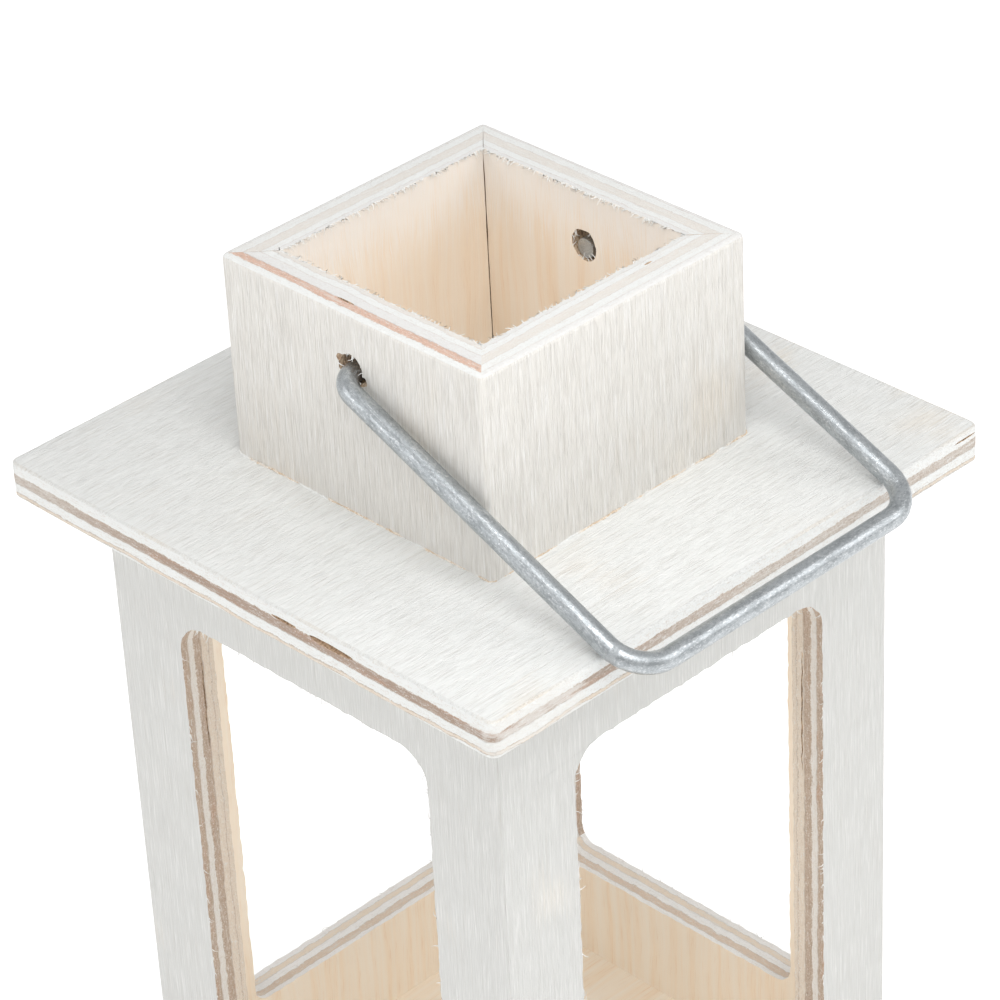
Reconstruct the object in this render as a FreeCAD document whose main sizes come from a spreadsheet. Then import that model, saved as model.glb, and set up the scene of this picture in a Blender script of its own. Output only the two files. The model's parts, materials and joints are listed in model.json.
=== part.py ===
"""A whitewashed plywood candle lantern with a folding wire bail, as a parametric document.

Four mitred side panels, each with a rounded window, stand on a base plate. They carry an overhanging
roof plate with a flue hole, and four mitred boards make a square chimney round that hole. A bent wire
bail turns in oversize holes in the front and back chimney boards and folds down on the roof's edge.

Millimetres, +Z up, origin at the centre of the underside of the base plate. The front faces -Y.
At rest the bail lies on the roof's +X edge.
"""
import math
import os

import FreeCAD
import Part
import Sketcher
from FreeCAD import Placement, Rotation, Vector

# Every driving dimension: alias, size in millimetres, what it is
DIMENSIONS = [
    ("board", 6.0, "thickness of the five-ply board that every wooden piece is cut from"),
    ("plate_side", 100.0, "side of the square roof plate and base plate"),
    ("plate_corner", 1.6, "radius of the plates' rounded corners"),
    ("flue_diameter", 36.0, "flue hole through the roof plate, under the chimney"),
    ("body_side", 81.0, "outer side of the square body"),
    ("body_height", 119.0, "height of the side panels, from base plate to roof plate"),
    ("body_arris", 0.8, "radius of the body's outer corners"),
    ("window_width", 52.0, "width of each window"),
    ("window_rail", 16.0, "height of the panel above the window"),
    ("window_sill", 17.0, "height of the panel below the window"),
    ("window_top_radius", 5.5, "radius of the window's upper corners"),
    ("window_foot_radius", 3.0, "radius of the window's lower corners"),
    ("chimney_side", 52.5, "outer side of the square chimney"),
    ("chimney_height", 33.0, "height of the chimney above the roof plate"),
    ("chimney_arris", 1.0, "radius of the chimney's outer corners"),
    ("bail_hole", 5.0, "diameter of the oversize holes that the bail turns in"),
    ("bail_hole_height", 24.0, "height of the holes' centres above the roof plate"),
    ("wire", 3.2, "diameter of the bail's wire"),
    ("wire_drop", 0.6, "how far the wire lies below the holes' centres"),
    ("wire_recess", 0.2, "how far the wire's ends stop short of the chimney's inside"),
    ("arm_gap", 0.8, "gap between the chimney and the bail's arms"),
    ("bail_reach", 61.0, "distance from the pivot to the middle of the bail's crossbar"),
    ("bail_bend", 6.0, "bend radius where arms meet crossbar, at the middle of the wire"),
    ("bail_elbow", 3.2, "bend radius where the arms turn into the holes"),
    ("rest_gap", 0.3, "gap left between the resting wire and the roof plate's edge"),
]
SIZE = {alias: value for alias, value, meaning in DIMENSIONS}

# The four sides of the square, as turns about +Z from the front
SIDES = {"front": 0, "right": 90, "back": 180, "left": 270}
BORED_SIDES = ("front", "back")

START, END, CENTRE = 1, 2, 3
ORIGIN = (-1, 1)
LEVEL_AXIS, UPRIGHT_AXIS = -1, -2

doc = FreeCAD.newDocument("plywood_lantern")


def make_sheet():
    """Puts the driving dimensions in a spreadsheet, one row each, under their aliases."""
    sheet = doc.addObject("Spreadsheet::Sheet", "Sizes")
    for row, (alias, value, meaning) in enumerate(DIMENSIONS, start=1):
        sheet.set("A%d" % row, meaning)
        sheet.set("B%d" % row, str(value))
        sheet.setAlias("B%d" % row, alias)
    doc.recompute()
    return sheet


def new_body(name):
    body = doc.addObject("PartDesign::Body", name)
    body.Label = name
    return body


def new_sketch(body, name, role, offset=None):
    """A sketch on one of the body's own origin planes, lifted along the plane's normal by an expression."""
    plane = next(feature for feature in body.Origin.OriginFeatures if feature.Role == role)
    sketch = body.newObject("Sketcher::SketchObject", name)
    sketch.AttachmentSupport = [(plane, "")]
    sketch.MapMode = "FlatFace"
    if offset:
        sketch.setExpression("AttachmentOffset.Base.z", offset)
    return sketch


def bind(sketch, name, expression, *constraint):
    """Adds a dimension to a sketch under a name, driven by the spreadsheet."""
    index = sketch.addConstraint(Sketcher.Constraint(*constraint))
    sketch.renameConstraint(index, name)
    sketch.setExpression("Constraints." + name, expression)


def rule(sketch, *constraint):
    """Adds a geometric constraint, which has no size of its own."""
    sketch.addConstraint(Sketcher.Constraint(*constraint))


def add_line(sketch, start, end):
    return sketch.addGeometry(Part.LineSegment(Vector(*start, 0), Vector(*end, 0)), False)


def add_arc(sketch, centre, radius, first_degrees, last_degrees):
    circle = Part.Circle(Vector(*centre, 0), Vector(0, 0, 1), radius)
    first, last = math.radians(first_degrees), math.radians(last_degrees)
    return sketch.addGeometry(Part.ArcOfCircle(circle, first, last), False)


def add_circle(sketch, centre, radius):
    return sketch.addGeometry(Part.Circle(Vector(*centre, 0), Vector(0, 0, 1), radius), False)


def join_loop(sketch, curves, joint):
    """Joins each curve's end to the next one's start, round a closed outline."""
    for curve, following in zip(curves, curves[1:] + curves[:1]):
        rule(sketch, joint, curve, END, following, START)


def pad(body, sketch, name, length):
    feature = body.newObject("PartDesign::Pad", name)
    feature.Profile = sketch
    feature.setExpression("Length", length)
    return feature


def cut_through(body, sketch, name, reversed_cut=False):
    """Pockets a sketch through the whole body, and fails if the cut took nothing away."""
    doc.recompute()
    before = body.Shape.Volume
    feature = body.newObject("PartDesign::Pocket", name)
    feature.Profile = sketch
    feature.Type = "ThroughAll"
    feature.Reversed = reversed_cut
    doc.recompute()
    if body.Shape.Volume > before - 1.0:
        raise RuntimeError("%s cut nothing out of %s" % (name, body.Label))
    return feature


def draw_square(sketch, side, expression):
    """A square centred on the sketch's origin."""
    half = side / 2
    corners = [(-half, -half), (half, -half), (half, half), (-half, half)]
    edges = [add_line(sketch, a, b) for a, b in zip(corners, corners[1:] + corners[:1])]
    bottom, right, top, left = edges
    join_loop(sketch, edges, "Coincident")
    for edge in (bottom, top):
        rule(sketch, "Horizontal", edge)
    for edge in (right, left):
        rule(sketch, "Vertical", edge)
    rule(sketch, "Symmetric", bottom, START, top, START, *ORIGIN)
    bind(sketch, "width", expression, "DistanceX", bottom, START, bottom, END, side)
    bind(sketch, "depth", expression, "DistanceY", right, START, right, END, side)


def make_plate(name, height=None):
    """A square plate of board with rounded corners, lifted off the ground by a height expression."""
    body = new_body(name)
    sketch = new_sketch(body, name + "_outline", "XY_Plane", height)
    draw_square(sketch, SIZE["plate_side"], "Sizes.plate_side")
    plate = pad(body, sketch, name + "_board", "Sizes.board")
    doc.recompute()
    upright = [
        "Edge%d" % number
        for number, edge in enumerate(plate.Shape.Edges, start=1)
        if abs(edge.tangentAt(edge.FirstParameter).z) > 0.99
    ]
    corners = body.newObject("PartDesign::Fillet", name + "_corners")
    corners.Base = (plate, upright)
    corners.setExpression("Radius", "Sizes.plate_corner")
    doc.recompute()
    return body


def draw_mitred_board(sketch, side, arris, side_expression, arris_expression):
    """The plan of one board of a square box: square outside face, mitred ends, eased outer corners.

    The board lies on the -Y side. Its mitres point at the middle of the box, and each outer corner
    is half of the arc that two neighbouring boards share.
    """
    half = side / 2
    inner = half - SIZE["board"]
    face_end = half - arris
    tip = face_end + arris * math.cos(math.radians(45))
    outside = add_line(sketch, (-face_end, -half), (face_end, -half))
    right_corner = add_arc(sketch, (face_end, -face_end), arris, -90, -45)
    right_mitre = add_line(sketch, (tip, -tip), (inner, -inner))
    inside = add_line(sketch, (inner, -inner), (-inner, -inner))
    left_mitre = add_line(sketch, (-inner, -inner), (-tip, -tip))
    left_corner = add_arc(sketch, (-face_end, -face_end), arris, -135, -90)
    outline = [outside, right_corner, right_mitre, inside, left_mitre, left_corner]
    for curve, following in zip(outline, outline[1:] + outline[:1]):
        smooth = outside in (curve, following)
        rule(sketch, "Tangent" if smooth else "Coincident", curve, END, following, START)
    rule(sketch, "Horizontal", inside)
    rule(sketch, "Symmetric", outside, START, outside, END, UPRIGHT_AXIS)
    for mitre, corner in ((right_mitre, right_corner), (left_mitre, left_corner)):
        rule(sketch, "PointOnObject", *ORIGIN, mitre)
        rule(sketch, "PointOnObject", corner, CENTRE, mitre)
    rule(sketch, "Perpendicular", right_mitre, left_mitre)
    rule(sketch, "Equal", right_corner, left_corner)
    bind(sketch, "half_side", side_expression + " / 2", "DistanceY", outside, START, *ORIGIN, half)
    bind(sketch, "thickness", "Sizes.board", "DistanceY", outside, START, inside, END, SIZE["board"])
    bind(sketch, "arris", arris_expression, "Radius", right_corner, arris)


def draw_window(sketch):
    """A window in a panel's own upright plane: a rectangle with a radius for each pair of corners."""
    half = SIZE["window_width"] / 2
    sill = SIZE["board"] + SIZE["window_sill"]
    head = SIZE["board"] + SIZE["body_height"] - SIZE["window_rail"]
    top, foot = SIZE["window_top_radius"], SIZE["window_foot_radius"]
    sill_line = add_line(sketch, (foot - half, sill), (half - foot, sill))
    right_foot = add_arc(sketch, (half - foot, sill + foot), foot, -90, 0)
    right_jamb = add_line(sketch, (half, sill + foot), (half, head - top))
    right_top = add_arc(sketch, (half - top, head - top), top, 0, 90)
    head_line = add_line(sketch, (half - top, head), (top - half, head))
    left_top = add_arc(sketch, (top - half, head - top), top, 90, 180)
    left_jamb = add_line(sketch, (-half, head - top), (-half, sill + foot))
    left_foot = add_arc(sketch, (foot - half, sill + foot), foot, 180, 270)
    outline = [sill_line, right_foot, right_jamb, right_top, head_line, left_top, left_jamb, left_foot]
    join_loop(sketch, outline, "Tangent")
    rule(sketch, "Horizontal", head_line)
    rule(sketch, "Vertical", right_jamb)
    rule(sketch, "Vertical", left_jamb)
    rule(sketch, "Symmetric", sill_line, START, sill_line, END, UPRIGHT_AXIS)
    rule(sketch, "Equal", right_top, left_top)
    rule(sketch, "Equal", right_foot, left_foot)
    bind(sketch, "width", "Sizes.window_width", "DistanceX", left_jamb, END, right_jamb, START, 2 * half)
    bind(sketch, "sill", "Sizes.board + Sizes.window_sill", "DistanceY", *ORIGIN, sill_line, START, sill)
    bind(sketch, "head", "Sizes.board + Sizes.body_height - Sizes.window_rail",
         "DistanceY", *ORIGIN, head_line, START, head)
    bind(sketch, "top_radius", "Sizes.window_top_radius", "Radius", right_top, top)
    bind(sketch, "foot_radius", "Sizes.window_foot_radius", "Radius", right_foot, foot)


def make_panel(side_name, turn):
    """One side panel of the body: a mitred board with its window."""
    body = new_body(side_name + "_panel")
    plan = new_sketch(body, side_name + "_panel_plan", "XY_Plane", "Sizes.board")
    draw_mitred_board(plan, SIZE["body_side"], SIZE["body_arris"], "Sizes.body_side", "Sizes.body_arris")
    pad(body, plan, side_name + "_panel_board", "Sizes.body_height")
    window = new_sketch(body, side_name + "_window", "XZ_Plane")
    draw_window(window)
    cut_through(body, window, side_name + "_window_cut", reversed_cut=True)
    body.Placement = Placement(Vector(), Rotation(Vector(0, 0, 1), turn))
    return body


def make_chimney_wall(side_name, turn):
    """One board of the chimney, bored for the bail if it stands at the front or back."""
    body = new_body("chimney_" + side_name)
    roof_top = "2 * Sizes.board + Sizes.body_height"
    plan = new_sketch(body, "chimney_%s_plan" % side_name, "XY_Plane", roof_top)
    draw_mitred_board(plan, SIZE["chimney_side"], SIZE["chimney_arris"],
                      "Sizes.chimney_side", "Sizes.chimney_arris")
    pad(body, plan, "chimney_%s_board" % side_name, "Sizes.chimney_height")
    if side_name in BORED_SIDES:
        bore = new_sketch(body, "bail_hole_" + side_name, "XZ_Plane")
        height = 2 * SIZE["board"] + SIZE["body_height"] + SIZE["bail_hole_height"]
        hole = add_circle(bore, (0, height), SIZE["bail_hole"] / 2)
        rule(bore, "PointOnObject", hole, CENTRE, UPRIGHT_AXIS)
        bind(bore, "height", roof_top + " + Sizes.bail_hole_height",
             "DistanceY", *ORIGIN, hole, CENTRE, height)
        bind(bore, "diameter", "Sizes.bail_hole", "Diameter", hole, SIZE["bail_hole"])
        cut_through(body, bore, "bail_hole_%s_cut" % side_name, reversed_cut=True)
    body.Placement = Placement(Vector(), Rotation(Vector(0, 0, 1), turn))
    return body


def make_base_plate():
    """The plate that the panels stand on, and the seat of the candle."""
    return make_plate("base_plate")


def make_roof_plate():
    """The overhanging roof, bored for the flue."""
    body = make_plate("roof_plate", "Sizes.board + Sizes.body_height")
    flue = new_sketch(body, "flue_outline", "XY_Plane")
    hole = add_circle(flue, (0, 0), SIZE["flue_diameter"] / 2)
    rule(flue, "Coincident", hole, CENTRE, *ORIGIN)
    bind(flue, "diameter", "Sizes.flue_diameter", "Diameter", hole, SIZE["flue_diameter"])
    cut_through(body, flue, "flue_cut", reversed_cut=True)
    return body


def draw_bail_path(sketch):
    """The bent wire's middle line: its pivot lies on the sketch's Y axis and its arms run along +X."""
    reach, bend, elbow = SIZE["bail_reach"], SIZE["bail_bend"], SIZE["bail_elbow"]
    arm = SIZE["chimney_side"] / 2 + SIZE["arm_gap"] + SIZE["wire"] / 2
    tip = SIZE["chimney_side"] / 2 - SIZE["board"] + SIZE["wire_recess"]
    back_pivot = add_line(sketch, (0, tip), (0, arm - elbow))
    back_elbow = add_arc(sketch, (elbow, arm - elbow), elbow, 90, 180)
    back_arm = add_line(sketch, (elbow, arm), (reach - bend, arm))
    back_bend = add_arc(sketch, (reach - bend, arm - bend), bend, 0, 90)
    crossbar = add_line(sketch, (reach, arm - bend), (reach, bend - arm))
    front_bend = add_arc(sketch, (reach - bend, bend - arm), bend, -90, 0)
    front_arm = add_line(sketch, (reach - bend, -arm), (elbow, -arm))
    front_elbow = add_arc(sketch, (elbow, elbow - arm), elbow, 180, 270)
    front_pivot = add_line(sketch, (0, elbow - arm), (0, -tip))
    rule(sketch, "Tangent", back_pivot, END, back_elbow, END)
    rule(sketch, "Tangent", back_elbow, START, back_arm, START)
    rule(sketch, "Tangent", back_arm, END, back_bend, END)
    rule(sketch, "Tangent", back_bend, START, crossbar, START)
    rule(sketch, "Tangent", crossbar, END, front_bend, END)
    rule(sketch, "Tangent", front_bend, START, front_arm, START)
    rule(sketch, "Tangent", front_arm, END, front_elbow, END)
    rule(sketch, "Tangent", front_elbow, START, front_pivot, START)
    rule(sketch, "Horizontal", back_arm)
    rule(sketch, "Horizontal", front_arm)
    rule(sketch, "PointOnObject", back_pivot, START, UPRIGHT_AXIS)
    rule(sketch, "PointOnObject", back_pivot, END, UPRIGHT_AXIS)
    rule(sketch, "PointOnObject", front_pivot, START, UPRIGHT_AXIS)
    rule(sketch, "Symmetric", back_pivot, START, front_pivot, END, *ORIGIN)
    rule(sketch, "Symmetric", crossbar, START, crossbar, END, LEVEL_AXIS)
    rule(sketch, "Equal", back_elbow, front_elbow)
    rule(sketch, "Equal", back_bend, front_bend)
    bind(sketch, "tip", "Sizes.chimney_side / 2 - Sizes.board + Sizes.wire_recess",
         "DistanceY", *ORIGIN, back_pivot, START, tip)
    bind(sketch, "arm", "Sizes.chimney_side / 2 + Sizes.arm_gap + Sizes.wire / 2",
         "DistanceY", *ORIGIN, back_arm, START, arm)
    bind(sketch, "reach", "Sizes.bail_reach", "DistanceX", *ORIGIN, crossbar, START, reach)
    bind(sketch, "bend", "Sizes.bail_bend", "Radius", back_bend, bend)
    bind(sketch, "elbow", "Sizes.bail_elbow", "Radius", back_elbow, elbow)


def make_bail():
    """The wire bail, swept along its bent middle line and laid on the roof plate's +X edge."""
    body = new_body("wire_bail")
    path = new_sketch(body, "bail_path", "XY_Plane")
    draw_bail_path(path)
    section = new_sketch(body, "wire_section", "XZ_Plane",
                         "-(Sizes.chimney_side / 2 - Sizes.board + Sizes.wire_recess)")
    round_wire = add_circle(section, (0, 0), SIZE["wire"] / 2)
    rule(section, "Coincident", round_wire, CENTRE, *ORIGIN)
    bind(section, "diameter", "Sizes.wire", "Diameter", round_wire, SIZE["wire"])
    doc.recompute()
    sweep = body.newObject("PartDesign::AdditivePipe", "bent_wire")
    sweep.Profile = section
    sweep.Spine = (path, ["Edge%d" % number for number in range(1, len(path.Shape.Edges) + 1)])
    # The arms dip until the wire touches the roof's edge, seen from the pivot above it
    pivot_rise = "(Sizes.bail_hole_height - Sizes.wire_drop)"
    half_roof = "(Sizes.plate_side / 2)"
    stand_off = "(Sizes.wire / 2 + Sizes.rest_gap)"
    edge_dip = "atan(%s / %s)" % (pivot_rise, half_roof)
    wire_lift = "asin(%s / sqrt(%s ^ 2 + %s ^ 2))" % (stand_off, pivot_rise, half_roof)
    body.Placement = Placement(Vector(), Rotation(Vector(0, 1, 0), 1))
    body.setExpression("Placement.Base.z", "2 * Sizes.board + Sizes.body_height + " + pivot_rise)
    body.setExpression("Placement.Rotation.Angle", "%s - %s" % (edge_dip, wire_lift))
    return body


def check_document(bodies):
    """Stops the build if anything failed to recompute or any piece isn't one valid solid."""
    for item in doc.Objects:
        if {"Invalid", "Error"} & set(item.State):
            raise RuntimeError("%s failed: %s" % (item.Label, item.State))
    for body in bodies:
        shape = body.Shape
        if shape.isNull() or not shape.isValid() or len(shape.Solids) != 1:
            raise RuntimeError("%s is not one valid solid" % body.Label)


def write_pieces(bodies):
    os.makedirs("parts", exist_ok=True)
    for body in bodies:
        body.Shape.exportStep("parts/%s.step" % body.Label)
        box = body.Shape.BoundBox
        print("%-15s %9.1f mm3  x %.2f..%.2f  y %.2f..%.2f  z %.2f..%.2f" % (
            body.Label, body.Shape.Volume, box.XMin, box.XMax, box.YMin, box.YMax, box.ZMin, box.ZMax))


def main():
    make_sheet()
    pieces = [make_base_plate()]
    pieces += [make_panel(side_name, turn) for side_name, turn in SIDES.items()]
    pieces.append(make_roof_plate())
    pieces += [make_chimney_wall(side_name, turn) for side_name, turn in SIDES.items()]
    bail = make_bail()
    pieces.append(bail)
    doc.recompute()
    check_document(pieces)
    write_pieces(pieces)
    placement = bail.Placement
    print("bail pivot at z %.3f, arms dip %.3f degrees" % (
        placement.Base.z, math.degrees(placement.Rotation.Angle)))


main()
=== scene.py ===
# %% [markdown]
# # A whitewashed plywood lantern
#
# The lantern is ten pieces of five-ply board, glued into a windowed box with a square chimney on its roof,
# and one bent wire that swings in two holes of the chimney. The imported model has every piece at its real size
# and place, so it is loaded first and stays as the frame for all that follows. It could be shown as it is,
# with a colour on each board. But a hand-sawn lantern is all ragged edges, open seams and ply lines, so each
# piece is modelled again over its own node and takes that node's place.

# %% Load the frame
import json
import math
import random

import bmesh
import bpy
from mathutils import Matrix, Quaternion, Vector, noise


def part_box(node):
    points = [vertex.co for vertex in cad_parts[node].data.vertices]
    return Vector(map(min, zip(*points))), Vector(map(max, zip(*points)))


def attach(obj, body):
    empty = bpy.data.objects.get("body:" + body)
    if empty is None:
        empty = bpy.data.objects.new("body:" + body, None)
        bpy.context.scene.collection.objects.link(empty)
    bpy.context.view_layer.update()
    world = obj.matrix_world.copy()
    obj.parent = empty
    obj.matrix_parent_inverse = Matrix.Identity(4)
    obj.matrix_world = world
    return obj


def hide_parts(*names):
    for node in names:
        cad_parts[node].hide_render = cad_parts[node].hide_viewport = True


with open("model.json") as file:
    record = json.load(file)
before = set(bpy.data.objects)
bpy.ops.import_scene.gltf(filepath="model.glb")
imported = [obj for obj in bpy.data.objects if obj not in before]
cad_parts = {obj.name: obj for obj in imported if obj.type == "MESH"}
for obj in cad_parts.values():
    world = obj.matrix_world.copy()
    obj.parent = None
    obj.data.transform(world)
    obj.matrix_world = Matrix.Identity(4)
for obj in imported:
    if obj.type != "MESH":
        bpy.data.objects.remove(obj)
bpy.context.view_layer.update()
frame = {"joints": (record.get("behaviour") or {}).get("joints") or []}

# %% [markdown]
# ## Sizes
#
# What a box can tell is read from the frame: how thick the board is, how wide the body and the chimney are
# and, later, where the wire turns. What it can't tell, such as the window, the bends of the wire and the
# marks of the saw, is written down in the cell that needs it, in millimetres as a joiner would.

# %% Sizes of the boards
MM = 0.001
SIDES = ("front", "right", "back", "left")
roof_low, roof_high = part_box("roof_plate")
base_low, base_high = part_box("base_plate")
panel_low, panel_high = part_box("front_panel")
wall_low, wall_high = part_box("chimney_front")
BOARD = roof_high.z - roof_low.z
BODY_HALF = -panel_low.y
CHIMNEY_HALF = -wall_low.y
print("board %.1f mm, body %.1f, chimney %.1f" % (BOARD / MM, 2 * BODY_HALF / MM, 2 * CHIMNEY_HALF / MM))

# %% [markdown]
# ## A few hand tools
#
# Modelling by hand is always the same few moves: click one piece, go into edit mode, select some corners,
# edges or faces, and use a tool on them. In a script the selecting is done by asking where an edge lies or
# which way it runs. These helpers do just that, so that the later cells read as a list of modelling steps.

# %% Selecting
NEAR = 0.005 * MM
STRAIGHT = 0.9999


def let_go():
    """Leaves edit mode, with nothing selected."""
    if bpy.context.mode != "OBJECT":
        bpy.ops.object.mode_set(mode="OBJECT")
    bpy.ops.object.select_all(action="DESELECT")


def only(piece):
    """Leaves edit mode and selects one piece."""
    let_go()
    piece.select_set(True)
    bpy.context.view_layer.objects.active = piece
    return piece


def pick(piece, kind, test):
    """Opens a piece in edit mode and selects the VERT, EDGE or FACE elements that pass a test."""
    only(piece)
    bpy.ops.object.mode_set(mode="EDIT")
    bpy.ops.mesh.select_mode(type=kind)
    bpy.ops.mesh.select_all(action="DESELECT")
    mesh = bmesh.from_edit_mesh(piece.data)
    elements = {"VERT": mesh.verts, "EDGE": mesh.edges, "FACE": mesh.faces}[kind]
    for element in [element for element in elements if test(element)]:
        element.select_set(True)
    bmesh.update_edit_mesh(piece.data)


def near(first, second):
    return abs(first - second) < NEAR


def runs(edge, axis):
    """True for an edge that runs along X (0), Y (1) or Z (2)."""
    along = (edge.verts[1].co - edge.verts[0].co).normalized()
    return abs(along[axis]) > STRAIGHT


def lies(edge, axis, place):
    """True for an edge that lies at a place on an axis, such as the height of a rim."""
    return all(near(corner.co[axis], place) for corner in edge.verts)


print("tools: let_go, only, pick, near, runs, lies")

# %% Starting, cutting and copying pieces


def settle(piece, name):
    """Names a piece and puts its place and size into its mesh."""
    only(piece)
    bpy.ops.object.transform_apply(location=True, rotation=True, scale=True)
    piece.name = name
    piece.data.name = name
    return piece


def add_block(name, low, high):
    """A cube from one corner to the opposite one, to start a piece from."""
    low, high = Vector(low), Vector(high)
    let_go()
    bpy.ops.mesh.primitive_cube_add(size=1, location=(low + high) / 2, scale=high - low)
    return settle(bpy.context.object, name)


def use_modifier(piece, kind, **settings):
    """Adds a modifier to a piece, sets it and applies it."""
    modifier = only(piece).modifiers.new(kind.lower(), kind)
    for setting, value in settings.items():
        setattr(modifier, setting, value)
    bpy.ops.object.modifier_apply(modifier=modifier.name)


def carve(piece, cutter):
    """Takes the shape of a cutter out of a piece. The new faces keep the cutter's material."""
    use_modifier(
        piece, "BOOLEAN", object=cutter, operation="DIFFERENCE", solver="EXACT", material_mode="TRANSFER"
    )
    bpy.data.objects.remove(cutter)


def copy_of(piece, name):
    """A copy of a piece with a mesh of its own."""
    copy = piece.copy()
    copy.data = piece.data.copy()
    copy.name = name
    copy.data.name = name
    bpy.context.collection.objects.link(copy)
    return copy


def turn_to_side(piece, side):
    """Turns a piece made at the front about the lantern's axis to the side where it belongs."""
    piece.rotation_euler.z = math.radians(90) * SIDES.index(side)
    only(piece)
    bpy.ops.object.transform_apply(location=False, rotation=True, scale=False)


print("tools: settle, add_block, use_modifier, carve, copy_of, turn_to_side")

# %% [markdown]
# ## Shader formulas
#
# A finish is a small sum: so much wash, less where the grain is open, darker in a pore. Nodes can be wired
# one by one for that, but a formula is easier to read. `Value` wraps the output of a node so that it can be
# added and multiplied as a number, and `Finish` makes the nodes of one material.

# %% Values that add up


class Value:
    """A number or vector that leaves a node, for use in formulas."""

    def __init__(self, finish, socket):
        self.finish = finish
        self.socket = socket

    def math(self, operation, first, second):
        return self.finish.node("ShaderNodeMath", {"operation": operation}, {0: first, 1: second})

    def __add__(self, other):
        return self.math("ADD", self, other)

    def __radd__(self, other):
        return self.math("ADD", other, self)

    def __sub__(self, other):
        return self.math("SUBTRACT", self, other)

    def __rsub__(self, other):
        return self.math("SUBTRACT", other, self)

    def __mul__(self, other):
        return self.math("MULTIPLY", self, other)

    def __rmul__(self, other):
        return self.math("MULTIPLY", other, self)

    def __truediv__(self, other):
        return self.math("DIVIDE", self, other)


print("values: + - * /")

# %% A finish and its nodes


def paint(red, green, blue):
    """A colour as a paint program shows it, 0 to 255, as the light that Blender counts in."""
    def light(level):
        level = level / 255
        return level / 12.92 if level <= 0.04045 else ((level + 0.055) / 1.055) ** 2.4
    return (light(red), light(green), light(blue), 1.0)


class Finish:
    """One procedural material."""

    def __init__(self, name, **constants):
        self.material = bpy.data.materials.new(name)
        self.material.use_nodes = True
        self.tree = self.material.node_tree
        self.shader = self.tree.nodes["Principled BSDF"]
        for socket, value in constants.items():
            self.shader.inputs[socket.replace("_", " ")].default_value = value

    def node(self, kind, settings, inputs, output=0):
        """Adds a node: its settings first, then a number or a link for each socket that is named."""
        node = self.tree.nodes.new(kind)
        for setting, value in settings.items():
            if setting == "stops":
                self.set_stops(node.color_ramp, value)
            else:
                setattr(node, setting, value)
        for socket, value in inputs.items():
            self.feed(node.inputs[socket], value)
        return Value(self, node.outputs[output])

    def set_stops(self, ramp, stops):
        """Gives a ramp its colours, from (place, colour) pairs."""
        while len(ramp.elements) < len(stops):
            ramp.elements.new(1.0)
        for element, (place, colour) in zip(ramp.elements, stops):
            element.position = place
            element.color = colour

    def feed(self, socket, value):
        if isinstance(value, Value):
            self.tree.links.new(value.socket, socket)
        else:
            socket.default_value = value

    def place(self):
        """Where a point is on its board in metres: across the grain, along it, and down through the plies."""
        return self.node("ShaderNodeAttribute", {"attribute_name": "board_place"}, {}, "Vector")

    def spot(self):
        """Where a point is on the lantern in metres."""
        return self.node("ShaderNodeTexCoord", {}, {}, "Object")

    def distance(self, place):
        """How far a point is from a place on the lantern, in metres."""
        return self.node("ShaderNodeVectorMath", {"operation": "DISTANCE"}, {0: self.spot(), 1: place}, 1)

    def part(self, vector, letter):
        """The X, Y or Z of a vector."""
        return self.node("ShaderNodeSeparateXYZ", {}, {0: vector}, letter)

    def noise(self, vector, size, detail=2.0, rough=0.5, output=0):
        """Noise whose flecks are about as large as a size in millimetres along each way of a vector."""
        scale = tuple(1 / (side * MM) for side in size)
        stretched = self.node("ShaderNodeVectorMath", {"operation": "MULTIPLY"}, {0: vector, 1: scale})
        inputs = {"Vector": stretched, "Scale": 1.0, "Detail": detail, "Roughness": rough}
        return self.node("ShaderNodeTexNoise", {}, inputs, output)

    def step(self, value, low, high):
        """Goes smoothly from 0 to 1 as a value goes from low to high."""
        settings = {"interpolation_type": "SMOOTHSTEP"}
        return self.node("ShaderNodeMapRange", settings, {"Value": value, "From Min": low, "From Max": high})

    def mix(self, share, first, second):
        """One colour with a share of a second one over it."""
        return self.node("ShaderNodeMix", {"data_type": "RGBA"}, {0: share, 6: first, 7: second}, 2)

    def bump(self, height, depth):
        """Relief as deep as a depth in millimetres, for the shader's normal."""
        inputs = {"Height": height, "Distance": depth * MM, "Strength": 1.0}
        return self.node("ShaderNodeBump", {}, inputs)

    def wear(self, **sockets):
        """Feeds the shader what varies over the surface, and returns the material."""
        for socket, value in sockets.items():
            self.feed(self.shader.inputs[socket.replace("_", " ")], value)
        return self.material


print("finish: nodes from formulas")

# %% [markdown]
# ## Whitewash
#
# The outsides are brushed with a thin white stain. It is a matt off-white that lets the birch show through:
# fine pores along the grain that stay a little darker, white threads beside them, broad streaks where the
# veneer took more, and cream clouds where the wash is thin. A single white would look like plastic. Four
# noises, each stretched along the grain of its own board, give those scales and the raised grain. The white
# of the raised threads is a painted highlight, and the body's panels take a darker copy of the wash as
# painted shade.

# %% The whitewashed faces
WASH = paint(237, 238, 236)
# The next colour is the same wash painted darker, as painted shade on the body's upright panels.
WASH_PAINTED_SHADE = paint(213, 213, 210)
WASH_WARM = paint(233, 230, 224)
WASH_CREAM = paint(236, 229, 218)
# The next colour is a painted highlight on the raised threads of the grain.
THREAD_PAINTED_HIGHLIGHT = paint(247, 246, 244)
PORE = paint(180, 172, 161)


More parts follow.
